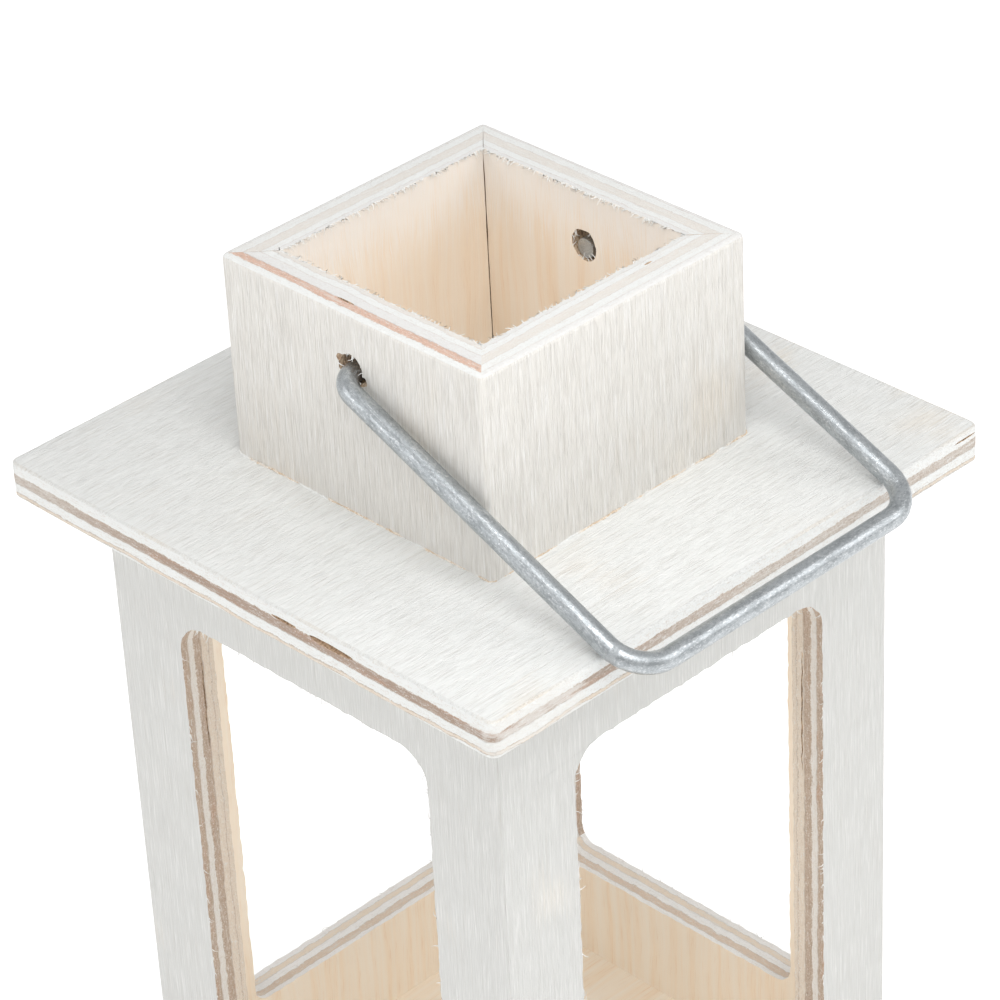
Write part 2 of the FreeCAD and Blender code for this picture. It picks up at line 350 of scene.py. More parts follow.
def make_whitewash(name, wash, cream, pore_share, pore_length, relief_depth):
    """A wash over birch: shares of cream clouds and dark pores, and the grain's length and depth in mm."""
    finish = Finish(name, Specular_IOR_Level=0.25)
    place = finish.place()
    pores = finish.noise(place, (0.14, pore_length, 0.5), 2.0, 0.6)
    threads = finish.noise(place, (0.16, 0.8 * pore_length, 0.6), 2.0, 0.7)
    streaks = finish.noise(place, (0.4, 22.0, 2.0), 4.0, 0.65)
    clouds = finish.noise(place, (18.0, 26.0, 9.0), 2.0, 0.5)
    thin = finish.step(clouds + 0.3 * (streaks - 0.5), 0.64 - cream, 0.92 - cream)
    open_pores = finish.step(pores + 0.5 * (streaks - 0.5), 0.48, 0.68)
    colour = finish.mix(thin, wash, WASH_CREAM)
    # Whiter colour on the raised threads: a painted highlight.
    colour = finish.mix(2.4 * pore_share * finish.step(threads, 0.50, 0.66), colour, THREAD_PAINTED_HIGHLIGHT)
    colour = finish.mix(pore_share * open_pores, colour, PORE)
    relief = finish.bump(threads - pores - 0.4 * streaks, relief_depth)
    return finish.wear(Base_Color=colour, Roughness=0.8 - 0.12 * open_pores, Normal=relief)


roof_wash = make_whitewash("whitewashed_roof", WASH, 0.10, 0.26, 6.0, 0.14)
# The body's wash is the darker copy: painted shade on its upright panels.
body_wash = make_whitewash("whitewashed_body", WASH_PAINTED_SHADE, 0.0, 0.16, 10.0, 0.10)
chimney_wash = make_whitewash("whitewashed_chimney", WASH_WARM, 0.10, 0.30, 9.0, 0.16)
worn_arris = make_whitewash("worn_arris", WASH, 0.20, 0.25, 0.5, 0.2)
print("made three washes and", worn_arris.name)

# %% [markdown]
# ## Bare birch
#
# Nobody paints the inside of a lantern like this, so the insides and the floor are plain birch veneer: a warm
# peach tan with thin wavy pore lines. The lines are stretched noise like the pores of the wash, pushed
# sideways a little by a slow noise so that none of them is ruled. Under the chimney's rim the brush went
# over the edge, so the birch there is bleached by some of the wash. The birch inside the box is painted
# much paler than the chimney's, as painted light against the shade inside the box.

# %% The bare insides
# The next two colours, for the box's inside, are painted paler than the chimney's two: painted light against
# the shade inside the box.
BIRCH = paint(255, 248, 236)
BIRCH_DEEP = paint(254, 239, 219)
CHIMNEY_BIRCH = paint(242, 231, 216)
CHIMNEY_BIRCH_DEEP = paint(240, 221, 198)
BIRCH_LINE = paint(226, 188, 152)
BIRCH_BLEACHED = paint(244, 240, 235)
SWAY = (4 * MM, 0, 0)
BRUSHED_OVER = 15 * MM


def make_bare_birch(name, pale, deep):
    """Bare veneer whose figure goes from a pale colour to a deep one."""
    finish = Finish(name, Specular_IOR_Level=0.3)
    place = finish.place()
    sway = finish.noise(place, (9.0, 30.0, 9.0), 2.0, 0.5, "Color")
    swayed = finish.node("ShaderNodeVectorMath", {"operation": "MULTIPLY_ADD"}, {0: sway, 1: SWAY, 2: place})
    figure = finish.noise(swayed, (2.2, 70.0, 3.0), 3.0, 0.6)
    lines = finish.noise(swayed, (0.2, 6.0, 1.0), 3.0, 0.6)
    dark_lines = finish.step(lines + 0.4 * (figure - 0.5), 0.54, 0.74)
    height = finish.part(finish.spot(), "Z") + 2 * BRUSHED_OVER * (lines - 0.5)
    bleached = finish.step(height, wall_high.z - BRUSHED_OVER, wall_high.z)
    colour = finish.mix(finish.step(figure, 0.3, 0.72), pale, deep)
    colour = finish.mix(0.28 * dark_lines, colour, BIRCH_LINE)
    colour = finish.mix(0.85 * bleached, colour, BIRCH_BLEACHED)
    relief = finish.bump(1.0 - lines, 0.06)
    return finish.wear(Base_Color=colour, Roughness=0.62 + 0.15 * dark_lines, Normal=relief)


# The box's inside and floor take the paler copy, as painted light.
box_birch_painted_light = make_bare_birch("box_birch_painted_light", BIRCH, BIRCH_DEEP)
chimney_birch = make_bare_birch("bare_chimney_birch", CHIMNEY_BIRCH, CHIMNEY_BIRCH_DEEP)
print("made", box_birch_painted_light.name, "and", chimney_birch.name)

# %% [markdown]
# ## Sawn ply edges
#
# A sawn edge shows the five plies: pale where a ply runs along the edge, brown where it is cut across and
# shows its end grain, with a dark hairline of glue between two of them. The board carries its depth in its
# own coordinates, so a colour ramp on that depth paints the plies on every edge at once. They wander a
# little, and the wash hides them in patches, more on the rims that the brush reached than in the windows.
# On the sills and other sawn faces that look up, the plies are painted much paler, as painted light.

# %% The sawn edges
GLUE_WIDTH = 0.016
PLY_MIDDLE = 0.45
PALE = paint(239, 240, 238)
GREY = paint(233, 232, 230)
PALE_TAN = paint(232, 227, 220)
TAN = paint(232, 219, 203)
BROWN = paint(176, 155, 140)
BROWN_FADED = paint(210, 202, 193)
BROWN_PALE = paint(194, 174, 156)
SALMON = paint(222, 186, 166)
DARK_SPOT = (18 * MM, roof_low.y, roof_high.z - BOARD / 2)
FADED_FROM = 30 * MM
FADED_TO = 62 * MM
GLUE_TAN = paint(204, 189, 174)
GLUE_PALE = paint(220, 213, 207)
RUST = paint(198, 152, 124)
END_GRAIN = paint(128, 102, 86)
WASHED_SPOT = (roof_high.x, roof_low.y + 8 * MM, roof_high.z - BOARD / 2)
WASHED_REACH = 11 * MM


def ply_stops(ends, plies, glue):
    """Ramp stops for five plies from the outer face in, with a hairline of glue between two of them."""
    stops = [(0.0, plies[0])]
    for end, ply, next_ply in zip(ends, plies, plies[1:]):
        stops.extend(((end - GLUE_WIDTH, ply), (end, glue), (end + GLUE_WIDTH, next_ply)))
    return stops + [(1.0, plies[-1])]


def make_sawn_edge(name, ends, plies, glue, washed, wave, faded=0.0):
    """Five plies: where they end, their colours, how far they wander, and the shares hidden and faded."""
    finish = Finish(name, Specular_IOR_Level=0.2)
    place = finish.place()
    depth = finish.part(place, "Z") / BOARD
    wander = finish.noise(place, (24.0, 24.0, 24.0), 2.0, 0.5)
    swell = finish.noise(place, (9.0, 9.0, 30.0), 2.0, 0.5)
    ripple = finish.noise(place, (1.6, 1.6, 1.2), 4.0, 0.7)
    fibres = finish.noise(place, (1.3, 1.3, 0.2), 3.0, 0.75)
    grit = finish.noise(place, (0.3, 0.3, 0.24), 3.0, 0.75)
    thickness = 1 + 6 * wave * (swell - 0.5)
    layers = PLY_MIDDLE + (depth - PLY_MIDDLE) * thickness + wave * (wander + ripple - 1.0)
    layers = layers + 0.09 * (fibres - 0.5) + 0.08 * (grit - 0.5)
    bands = finish.node("ShaderNodeValToRGB", {"stops": ply_stops(ends, plies, glue)}, {0: layers})
    end_grain = finish.step(finish.node("ShaderNodeRGBToBW", {}, {0: bands}), 0.8, 0.4)
    tint = finish.noise(place, (10.0, 10.0, 1.2), 3.0, 0.6)
    colour = finish.mix(0.4 * finish.step(tint, 0.50, 0.7) * end_grain, bands, RUST)
    away = finish.distance(DARK_SPOT) + 30 * MM * (wander - 0.5)
    colour = finish.mix(faded * finish.step(away, FADED_FROM, FADED_TO) * end_grain, colour, BROWN_FADED)
    rough = 0.5 * (fibres + grit)
    colour = finish.mix(0.4 * finish.step(rough, 0.51, 0.60), colour, glue)
    colour = finish.mix(0.4 * finish.step(rough, 0.52, 0.60) * end_grain, colour, END_GRAIN)
    colour = finish.mix(0.6 * finish.step(rough, 0.48, 0.40), colour, WASH)
    patches = finish.noise(place, (6.0, 6.0, 0.7), 4.0, 0.7)
    away = finish.distance(WASHED_SPOT) + 6 * MM * (ripple - 0.5)
    brushed = 0.22 * finish.step(away, WASHED_REACH, 0.6 * WASHED_REACH)
    hidden = finish.step(patches + 0.3 * (grit - 0.5) + brushed, 0.72 - washed, 0.92 - washed)
    colour = finish.mix(0.65 * hidden, colour, finish.mix(fibres, WASH, PALE_TAN))
    relief = finish.bump(grit + fibres - 0.4 * end_grain, 0.14)
    return finish.wear(Base_Color=colour, Roughness=0.86 - 0.1 * hidden, Normal=relief)


WINDOW_ENDS = (0.19, 0.39, 0.62, 0.85)
PLATE_ENDS = (0.30, 0.55, 0.82, 0.91)
RIM_ENDS = (0.17, 0.40, 0.68, 0.88)
window_plies = (BROWN_PALE, PALE_TAN, BROWN_PALE, TAN, TAN)
window_edge = make_sawn_edge("window_ply_edge", WINDOW_ENDS, window_plies, GLUE_TAN, 0.14, 0.07)
# The next three colours are much paler than the window's plies: painted light on the sawn faces that look up.
SILL_WHITE = paint(253, 252, 250)
SILL_TAN = paint(244, 230, 212)
SILL_BROWN = paint(230, 211, 192)
sill_plies_painted_light = (SILL_WHITE, SILL_TAN, SILL_WHITE, SILL_BROWN, SILL_WHITE)
sill_edge_painted_light = make_sawn_edge("sill_ply_edge_painted_light", WINDOW_ENDS, sill_plies_painted_light, GLUE_PALE, 0.20, 0.06)
plate_plies = (PALE, BROWN, PALE, TAN, PALE)
plate_edge = make_sawn_edge("plate_ply_edge", PLATE_ENDS, plate_plies, GLUE_TAN, 0.16, 0.10, 0.85)
rim_edge = make_sawn_edge("rim_ply_edge", RIM_ENDS, (GREY, PALE, PALE_TAN, PALE, GREY), GLUE_PALE, 0.24, 0.05)
front_rim_plies = (PALE, SALMON, GREY, PALE, PALE_TAN)
front_rim_edge = make_sawn_edge("front_rim_ply_edge", RIM_ENDS, front_rim_plies, GLUE_PALE, 0.20, 0.09)
print("made five ply edges")

# %% [markdown]
# ## Voids and torn holes
#
# Where a ply has a gap or a drill has torn the wood, one sees raw brown wood in shadow. It is rough and has
# no direction, so plain noise on the lantern's own coordinates is enough.

# %% Raw wood inside a void
RAW = paint(238, 216, 188)
RAW_DARK = paint(172, 146, 124)


def make_raw_wood(name):
    finish = Finish(name, Specular_IOR_Level=0.1, Roughness=0.95)
    spot = finish.spot()
    splinters = finish.noise(spot, (0.4, 0.4, 0.9), 3.0, 0.7)
    colour = finish.mix(finish.step(splinters, 0.35, 0.65), RAW_DARK, RAW)
    return finish.wear(Base_Color=colour, Normal=finish.bump(splinters, 0.15))


raw_wood = make_raw_wood("raw_wood")
print("made", raw_wood.name)

# %% [markdown]
# ## Galvanised wire
#
# The bail is hot-dipped steel wire: a blue-grey satin metal, cloudy where the zinc lies thicker, with drawn
# streaks along its length, bright flecks and dull pits. The bright streaks and flecks are partly the zinc's
# spangle and drawing marks and partly painted glints. The wire stores its own coordinates too, so the
# streaks run along the arms and along the handle.

# %% The zinc
ZINC = paint(182, 187, 190)
ZINC_DULL = paint(158, 163, 166)
# The next colour is partly the zinc's own spangle and partly a painted glint.
ZINC_SPANGLE_AND_GLINT = paint(232, 234, 235)
ZINC_PIT = paint(116, 120, 123)


def make_zinc(name):
    finish = Finish(name, Metallic=0.9)
    place = finish.place()
    streaks = finish.noise(place, (0.2, 4.0, 0.2), 3.0, 0.7)
    clouds = finish.noise(place, (1.2, 3.5, 1.2), 3.0, 0.6)
    spots = finish.noise(place, (0.24, 0.5, 0.24), 3.0, 0.75)
    dull = finish.step(clouds + 0.5 * (streaks - 0.5), 0.36, 0.70)
    flecks = finish.step(spots, 0.54, 0.64)
    colour = finish.mix(dull, ZINC, ZINC_DULL)
    # Whiter streaks and flecks: partly drawing marks and spangle, partly painted glints.
    colour = finish.mix(0.4 * finish.step(streaks, 0.56, 0.70), colour, ZINC_SPANGLE_AND_GLINT)
    colour = finish.mix(0.5 * flecks, colour, ZINC_SPANGLE_AND_GLINT)
    colour = finish.mix(0.4 * finish.step(spots, 0.46, 0.36), colour, ZINC_PIT)
    relief = finish.bump(streaks + spots, 0.03)
    return finish.wear(Base_Color=colour, Roughness=0.30 + 0.08 * dull - 0.06 * flecks, Normal=relief)


zinc = make_zinc("galvanised_zinc")
print("made", zinc.name)

# %% [markdown]
# ## One panel of the body, from a square tube
#
# The four panels meet in mitres, and the rounded outer edge runs across the joint: half of it is on each
# panel. Four boards could be drawn one by one, but then the halves would have to match. So the whole box is
# made first, as a square tube with its corners rounded over, and one board is sawn out of it along the two
# diagonals, as if the glue were undone.

# %% The body's square tube and one board of it
BODY_ARRIS = 0.8 * MM
PANEL_ROWS = 80
ARRIS_STEPS = 4
SAW_OVERRUN = 5 * MM


def model_tube(name, half, low, high, arris, rows):
    """A square tube of board with rounded corners, cut into rows along its height."""
    tube = add_block(name, (-half, -half, low), (half, half, high))
    pick(tube, "EDGE", lambda edge: runs(edge, 2))
    bpy.ops.mesh.bevel(offset=arris, segments=2 * ARRIS_STEPS, affect="EDGES")
    pick(tube, "EDGE", lambda edge: runs(edge, 2))
    bpy.ops.mesh.subdivide(number_cuts=rows)
    inside = half - BOARD
    hollow = add_block("hollow", (-inside, -inside, low - SAW_OVERRUN), (inside, inside, high + SAW_OVERRUN))
    pick(hollow, "EDGE", lambda edge: runs(edge, 2))
    bpy.ops.mesh.subdivide(number_cuts=rows)
    carve(tube, hollow)
    return tube


def saw_mitres(tube):
    """Saws along both diagonals, and keeps the board at the front."""
    for lean in (1, -1):
        pick(tube, "FACE", lambda face: True)
        bpy.ops.mesh.bisect(
            plane_co=(0, 0, 0), plane_no=(lean, 1, 0), use_fill=True, clear_outer=True, threshold=NEAR / 10
        )
    return only(tube)


body_tube = model_tube("panel_blank", BODY_HALF, panel_low.z, panel_high.z, BODY_ARRIS, PANEL_ROWS)
panel_blank = saw_mitres(body_tube)
print("panel blank:", len(panel_blank.data.polygons), "faces")

# %% [markdown]
# ## The window
#
# The window is sawn out with a fine blade: straight sides, rounder corners at the top than at the foot. A
# cutter of that shape is made from a cube, with its edges rounded and cut into short lengths, and taken out
# of the board. The short lengths leave a row of points round the window, which the blade's wobble needs next.

# %% Saw out the window
WINDOW_HALF = 26 * MM
WINDOW_SILL = panel_low.z + 17 * MM
WINDOW_TOP = panel_high.z - 16 * MM
TOP_RADIUS = 5.5 * MM
FOOT_RADIUS = 3 * MM
SAW_STEP = 0.6 * MM


def cuts_for(length, step):
    return round(length / step) - 1


def model_window_cutter():
    front = -BODY_HALF - SAW_OVERRUN
    back = -BODY_HALF + BOARD + SAW_OVERRUN
    cutter = add_block("window_cutter", (-WINDOW_HALF, front, WINDOW_SILL), (WINDOW_HALF, back, WINDOW_TOP))
    for height, radius in ((WINDOW_TOP, TOP_RADIUS), (WINDOW_SILL, FOOT_RADIUS)):
        pick(cutter, "EDGE", lambda edge: runs(edge, 1) and lies(edge, 2, height))
        bpy.ops.mesh.bevel(offset=radius, segments=round(1.6 * radius / SAW_STEP), affect="EDGES")
    tall = WINDOW_TOP - WINDOW_SILL - TOP_RADIUS - FOOT_RADIUS
    pick(cutter, "EDGE", lambda edge: runs(edge, 2))
    bpy.ops.mesh.subdivide(number_cuts=cuts_for(tall, SAW_STEP))
    for height in (WINDOW_TOP, WINDOW_SILL):
        pick(cutter, "EDGE", lambda edge: runs(edge, 0) and lies(edge, 2, height))
        bpy.ops.mesh.subdivide(number_cuts=cuts_for(2 * WINDOW_HALF - 2 * TOP_RADIUS, SAW_STEP))
    pick(cutter, "EDGE", lambda edge: runs(edge, 1))
    bpy.ops.mesh.subdivide(number_cuts=cuts_for(back - front, BOARD / 4))
    return only(cutter)


carve(panel_blank, model_window_cutter())
print("windowed panel:", len(panel_blank.data.polygons), "faces")

# %% [markdown]
# ## Saw wobble and open mitres
#
# A saw never leaves a clean line in thin ply: the edge wavers by a quarter of a millimetre, and the mitres
# gape inside while they look nearly shut outside. Both could be bump in the paint, but they show against the
# light, so the points themselves are moved a little. The noise gets a seed first, because without one it
# would start from the clock and saw every lantern differently.

# %% Moving points as a saw would
WOBBLE = 0.22 * MM
WOBBLE_LENGTH = 1.7 * MM
NICK = 0.10 * MM
NICK_LENGTH = 0.5 * MM
MITRE_SHUT = 3 * MM
SEED_STRIDE = 37.0
NOISE_SEED = 7
noise.seed_set(NOISE_SEED)


def waver(place, length, seed):
    """A smooth random vector that changes over a length."""
    return noise.noise_vector(place / length + Vector((seed * SEED_STRIDE, 0, 0)))


def fray(piece, test, seed, ways, amount=1.0):
    """Moves the points that pass a test, along X, Y and Z by the shares in ways."""
    for point in piece.data.vertices:
        if test(point.co):
            wobble = WOBBLE * waver(point.co, WOBBLE_LENGTH, seed)
            nick = NICK * waver(point.co, NICK_LENGTH, seed + 1)
            point.co += amount * (wobble + nick) * Vector(ways)


def on_window(place):
    inside = abs(place.x) < WINDOW_HALF + NEAR
    return inside and WINDOW_SILL - NEAR < place.z < WINDOW_TOP + NEAR


def open_mitres(board, half, top, gape, notch, seed):
    """Pulls the mitres apart inside by a gape and sinks their outer tips by a notch, less so at the top."""
    inside = half - BOARD
    for point in board.data.vertices:
        if near(abs(point.co.x), abs(point.co.y)):
            share = 0.6 + 0.8 * noise.noise(Vector((seed * SEED_STRIDE, point.co.x, point.co.z / (4 * MM))))
            share *= min(1, (top - point.co.z) / MITRE_SHUT)
            way = math.copysign(1, point.co.x)
            if near(abs(point.co.y), inside):
                point.co.x -= way * gape * share
            else:
                point.co.x -= way * notch * share
                point.co.y += notch * share


print("tools: fray, open_mitres")

# %% [markdown]
# ## The paint and the grain of a board
#
# Each face of a board gets one of the finishes by the way it looks: out of the lantern, into it, or sideways
# where the saw went. The board also stores for every point how far it lies across the grain, along it, and
# down through the plies, so the finishes know where they are whichever way the board is turned. Each board
# starts somewhere else along its sheet of veneer, so no two have the same figure.

# %% Painting a board
SHEET_STRIDE = 0.31


def paint_board(board, wash, bare, edge, upper, facing):
    """Gives the faces their finishes. Facing tells from a normal and a place which of the five a face has."""
    board.data.materials.clear()
    for finish in (wash, bare, edge, upper, raw_wood):
        board.data.materials.append(finish)
    for face in board.data.polygons:
        face.material_index = facing(face.normal, face.center)


def store_place(board, across, along, down, outer, number):
    """Keeps every point's place on its board: outer is where the outer face is along the way down."""
    shift = Vector((SHEET_STRIDE * number, SHEET_STRIDE * (number % 3), 0))
    places = []
    for point in board.data.vertices:
        place = Vector((point.co.dot(across), point.co.dot(along), point.co.dot(down) - outer))
        places.extend(place + shift)
    attribute = board.data.attributes.new("board_place", "FLOAT_VECTOR", "POINT")
    attribute.data.foreach_set("vector", places)


WASHED, BARE, SAWN, UPPER, RAW_CUT = range(5)


def facing_upright(normal, place):
    """For a board at the front: its outer face looks along -Y, its mitres back and sideways, its sill up."""
    if normal.y < -0.6:
        return WASHED
    if normal.y > 0.95:
        return BARE
    if normal.z > 0.6:
        return UPPER
    return RAW_CUT if normal.y > 0.6 else SAWN


def soften(piece, degrees=35):
    """Smooth shading that keeps the sharp edges."""
    only(piece)
    bpy.ops.object.shade_smooth_by_angle(angle=math.radians(degrees))


def flatten(board):
    """Even triangles and flat shading on the two broad faces of a board that stands at the front."""
    pick(board, "FACE", lambda face: abs(face.normal.y) > STRAIGHT)
    bpy.ops.mesh.quads_convert_to_tris(quad_method="BEAUTY", ngon_method="BEAUTY")
    only(board)
    for face in board.data.polygons:
        if abs(face.normal.y) > STRAIGHT:
            face.use_smooth = False


X, Y, Z = Vector((1, 0, 0)), Vector((0, 1, 0)), Vector((0, 0, 1))
print("tools: paint_board, store_place, soften, flatten")

# %% [markdown]
# ## Torn fibres
#
# Birch ply tears as it is sawn, and white fibres stay standing at the edge. One fibre is modelled: a
# three-sided thread that is extruded in a few steps, each thinner and turned a little. Copies of it, each
# with its own size and turn, are set along the edges of the boards and joined to them.

# %% One fibre
FIBRE_RADIUS = 0.09 * MM
FIBRE_STEP = 0.3 * MM
FIBRE_STEPS = 4
FIBRE_CURL = math.radians(17)


def model_fibre():
    """A thread that starts at the origin, grows along +Z and curls towards +X."""
    let_go()
    bpy.ops.mesh.primitive_circle_add(vertices=3, radius=FIBRE_RADIUS, fill_type="NGON", location=(0, 0, 0))
    fibre = settle(bpy.context.object, "fibre")
    pick(fibre, "FACE", lambda face: True)
    for step in range(FIBRE_STEPS):
        lean = FIBRE_CURL * (step + 0.5)
        growth = (FIBRE_STEP * math.sin(lean), 0, FIBRE_STEP * math.cos(lean))
        bpy.ops.mesh.extrude_region_move(TRANSFORM_OT_translate={"value": growth})
        bpy.ops.transform.resize(value=(0.82, 0.82, 0.82))
    bpy.ops.mesh.select_all(action="SELECT")
    bpy.ops.mesh.normals_make_consistent(inside=False)
    return only(fibre)


fibre = model_fibre()
fibre.data.materials.append(roof_wash)
print("fibre:", len(fibre.data.polygons), "faces")

# %% Planting fibres on a board


def plant_fibres(board, roots, draw):
    """Copies the fibre to each root, a place with a way and a length, and joins the copies to the board."""
    copies = []
    for place, growth, length in roots:
        size = length * draw.uniform(0.5, 1.3)
        spin = Quaternion(growth, draw.uniform(0, math.tau))
        turn = spin @ growth.to_track_quat("Z", "X")
        copy = copy_of(fibre, "fibre_copy")
        copy.data.transform(Matrix.LocRotScale(place, turn, Vector((1, 1, size))))
        copies.append(copy)
    only(board)
    for copy in copies:
        copy.select_set(True)
    if copies:
        bpy.ops.object.join()


def window_roots(board, count, draw):
    """Random places on the window's outer edge, with ways into the opening that droop a little."""
    edge = [point.co.copy() for point in board.data.vertices
            if near(point.co.y, -BODY_HALF) and on_window(point.co)]
    centre = Vector((0, -BODY_HALF, (WINDOW_SILL + WINDOW_TOP) / 2))
    roots = []
    for place in draw.sample(edge, count):
        inward = centre - place
        if abs(inward.x) / WINDOW_HALF > abs(inward.z) / (WINDOW_TOP - WINDOW_SILL) * 2:
            inward = Vector((math.copysign(1, inward.x), 0, 0))
        else:
            inward = Vector((0, 0, math.copysign(1, inward.z)))
        loose = Vector((draw.uniform(-1, 1), draw.uniform(-0.6, 0.3), draw.uniform(-1.6, 0.6)))
        roots.append((place, (inward + 0.8 * loose).normalized(), 0.8))
    return roots


print("tools: plant_fibres, window_roots")

# %% [markdown]
# ## Gaps in the plies
#
# Cheap ply has voids: places where an inner veneer ends short and leaves a slot in the edge. Paint can't show
# the depth of one from the side, so each is cut out with a long lens, roughened first so that no rim is even.

# %% Opening a void
VOID_ROUGH = 0.22


def open_void(board, place, size):
    """Cuts a lens of three half sizes, in millimetres, out of a board at a place in millimetres."""
    let_go()
    place, size = MM * Vector(place), MM * Vector(size)
    bpy.ops.mesh.primitive_ico_sphere_add(subdivisions=3, radius=1, location=place, scale=size)
    lens = settle(bpy.context.object, "lens")
    for point in lens.data.vertices:
        point.co += VOID_ROUGH * size * waver(point.co, 0.8 * MM, 0)
    lens.data.materials.append(raw_wood)
    carve(board, lens)


print("tools: open_void")

# %% [markdown]
# ## The four panels
#
# Each panel is a copy of the windowed blank. It gets its own wobble, its own gaping mitres, its paint, its
# place on the sheet and its fibres while it still stands at the front, and is then turned to its side. The
# wobble leaves long thin faces round the window that would show as streaks, so they are cut up evenly.

# %% Make the four panels
PANEL_SEED = 100
PANEL_FIBRES = 70
PANEL_GAPE = 0.16 * MM
PANEL_NOTCH = 0.09 * MM
PANEL_VOIDS = {
    "front": (((-26.0, -37.0, 92.0), (0.7, 0.14, 8.0)), ((26.0, -36.6, 54.0), (0.7, 0.2, 4.0))),
    "right": (((26.0, -36.4, 86.0), (0.7, 0.15, 11.0)),),
}


def dress(piece, node, body):
    """The piece takes the place of its node and moves with its body."""
    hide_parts(node)
    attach(piece, body)


def make_panel(side, number):
    draw = random.Random(PANEL_SEED + number)
    panel = copy_of(panel_blank, side + "_panel_board")
    # Sawn faces that look up take the paler sill plies, as painted light.
    paint_board(panel, body_wash, box_birch_painted_light, window_edge, sill_edge_painted_light, facing_upright)
    for place, size in PANEL_VOIDS.get(side, ()):
        open_void(panel, place, size)
    roots = window_roots(panel, PANEL_FIBRES, draw)
    fray(panel, on_window, number, (1, 0, 1))
    store_place(panel, X, Z, Y, -BODY_HALF, number)
    open_mitres(panel, BODY_HALF, panel_high.z, PANEL_GAPE, PANEL_NOTCH, number)
    soften(panel)
    flatten(panel)
    plant_fibres(panel, roots, draw)
    turn_to_side(panel, side)
    dress(panel, side + "_panel", "lantern")
    return panel


panels = [make_panel(side, number) for number, side in enumerate(SIDES)]
bpy.data.objects.remove(panel_blank)
print("panels:", [len(panel.data.polygons) for panel in panels], "faces")

# %% [markdown]
# ## The plates
#
# The roof and the base are the same square plate with rounded corners. One is modelled, with its edges eased
# and cut into short lengths for the wobble. The roof gets a round flue under the chimney.

# %% One plate, and the roof and base from it
PLATE_RADIUS = 1.6 * MM
PLATE_EASE = 0.5 * MM
PLATE_STEP = 1.0 * MM
FLUE_RADIUS = 18 * MM
FLUE_SIDES = 40


def model_plate():
    plate = add_block("plate", roof_low, roof_high)
    pick(plate, "EDGE", lambda edge: runs(edge, 2))
    bpy.ops.mesh.bevel(offset=PLATE_RADIUS, segments=8, affect="EDGES")
    for height in (roof_low.z, roof_high.z):
        pick(plate, "EDGE", lambda edge: lies(edge, 2, height))
        bpy.ops.mesh.bevel(offset=PLATE_EASE, segments=3, affect="EDGES")
    straight = 2 * (roof_high.x - PLATE_RADIUS)
    for axis in (0, 1):
        pick(plate, "EDGE", lambda edge: runs(edge, axis) and edge.calc_length() > PLATE_RADIUS)
        bpy.ops.mesh.subdivide(number_cuts=cuts_for(straight, PLATE_STEP))
    return only(plate)


def bore(piece, radius, sides, place, along, finish=None):
    """Drills a round hole through a piece, along Y or Z, and can leave a finish in it."""
    let_go()
    turn = (math.radians(90), 0, 0) if along == "Y" else (0, 0, 0)
    bpy.ops.mesh.primitive_cylinder_add(
        vertices=sides, radius=radius, depth=4 * BOARD, location=place, rotation=turn
    )
    drill = settle(bpy.context.object, "drill")
    if finish:
        drill.data.materials.append(finish)
    carve(piece, drill)


plate_blank = model_plate()
roof = copy_of(plate_blank, "roof_board")
bore(roof, FLUE_RADIUS, FLUE_SIDES, (0, 0, roof_low.z + BOARD / 2), "Z")
base = plate_blank
base.location.z = base_low.z - roof_low.z
settle(base, "base_board")
print("roof:", len(roof.data.polygons), "faces, base:", len(base.data.polygons))

# %% Finish the plates
ROOF_VOIDS = (
    ((18.7, -50.0, 129.2), (4.4, 1.4, 0.5)), ((9.5, -50.0, 129.3), (2.6, 0.8, 0.28)),
    ((50.0, 46.4, 130.0), (0.7, 2.4, 0.16)), ((-50.0, -14.0, 129.2), (0.9, 5.0, 0.35)),
    ((-22.0, 50.0, 129.3), (4.0, 0.9, 0.4)),
)
EDGE_WAVE = 0.10 * MM
EDGE_WAVE_LENGTH = 6 * MM
floor_half = BODY_HALF - BOARD


def wear_rim(plate, seed):
    """The rim of a plate wavers inwards a little, never beyond its size."""
    half = roof_high.x
    for point in plate.data.vertices:
        reach = max(abs(point.co.x), abs(point.co.y))
        if reach > half - PLATE_RADIUS:
            sink = EDGE_WAVE * (0.5 + 0.5 * waver(point.co, EDGE_WAVE_LENGTH, seed).x)
            shrink = (reach - sink) / reach
            point.co.x *= shrink
            point.co.y *= shrink


def facing_flat(normal, place):
    """For a plate that lies flat: washed on both faces, worn along its arrises, sawn on rim and bore."""
    if abs(normal.z) > 0.97:
        return WASHED
    return UPPER if abs(normal.z) > 0.3 else SAWN


def facing_floor(normal, place):
    inside = max(abs(place.x), abs(place.y)) < floor_half
    return BARE if inside and normal.z > 0.9 else facing_flat(normal, place)


def mark_floor():
    """Cuts the top of the base along the inside of the four panels, where its bare floor ends."""
    for way in (X, -X, Y, -Y):
        pick(base, "FACE", lambda face: face.normal.z > 0.99)
        bpy.ops.mesh.bisect(plane_co=floor_half * way, plane_no=way, threshold=NEAR / 10)
    only(base)


mark_floor()
for plate, facing, number in ((roof, facing_flat, 11), (base, facing_floor, 12)):
    paint_board(plate, roof_wash, box_birch_painted_light, plate_edge, worn_arris, facing)
    for place, size in ROOF_VOIDS if plate is roof else ():
        open_void(plate, place, size)
    store_place(plate, X, Y, -Z, -max(point.co.z for point in plate.data.vertices), number)
    wear_rim(plate, number)
    soften(plate)
dress(roof, "roof_plate", "lantern")
dress(base, "base_plate", "lantern")
print("plates painted")

# %% [markdown]
# ## The chimney
#
# The chimney is the body's joint in small: four mitred boards, rounder at the corners, eased along the top
# rim. Two of them are drilled for the wire, and the drill has torn the holes, so their rims are frayed more
# than a saw cut.

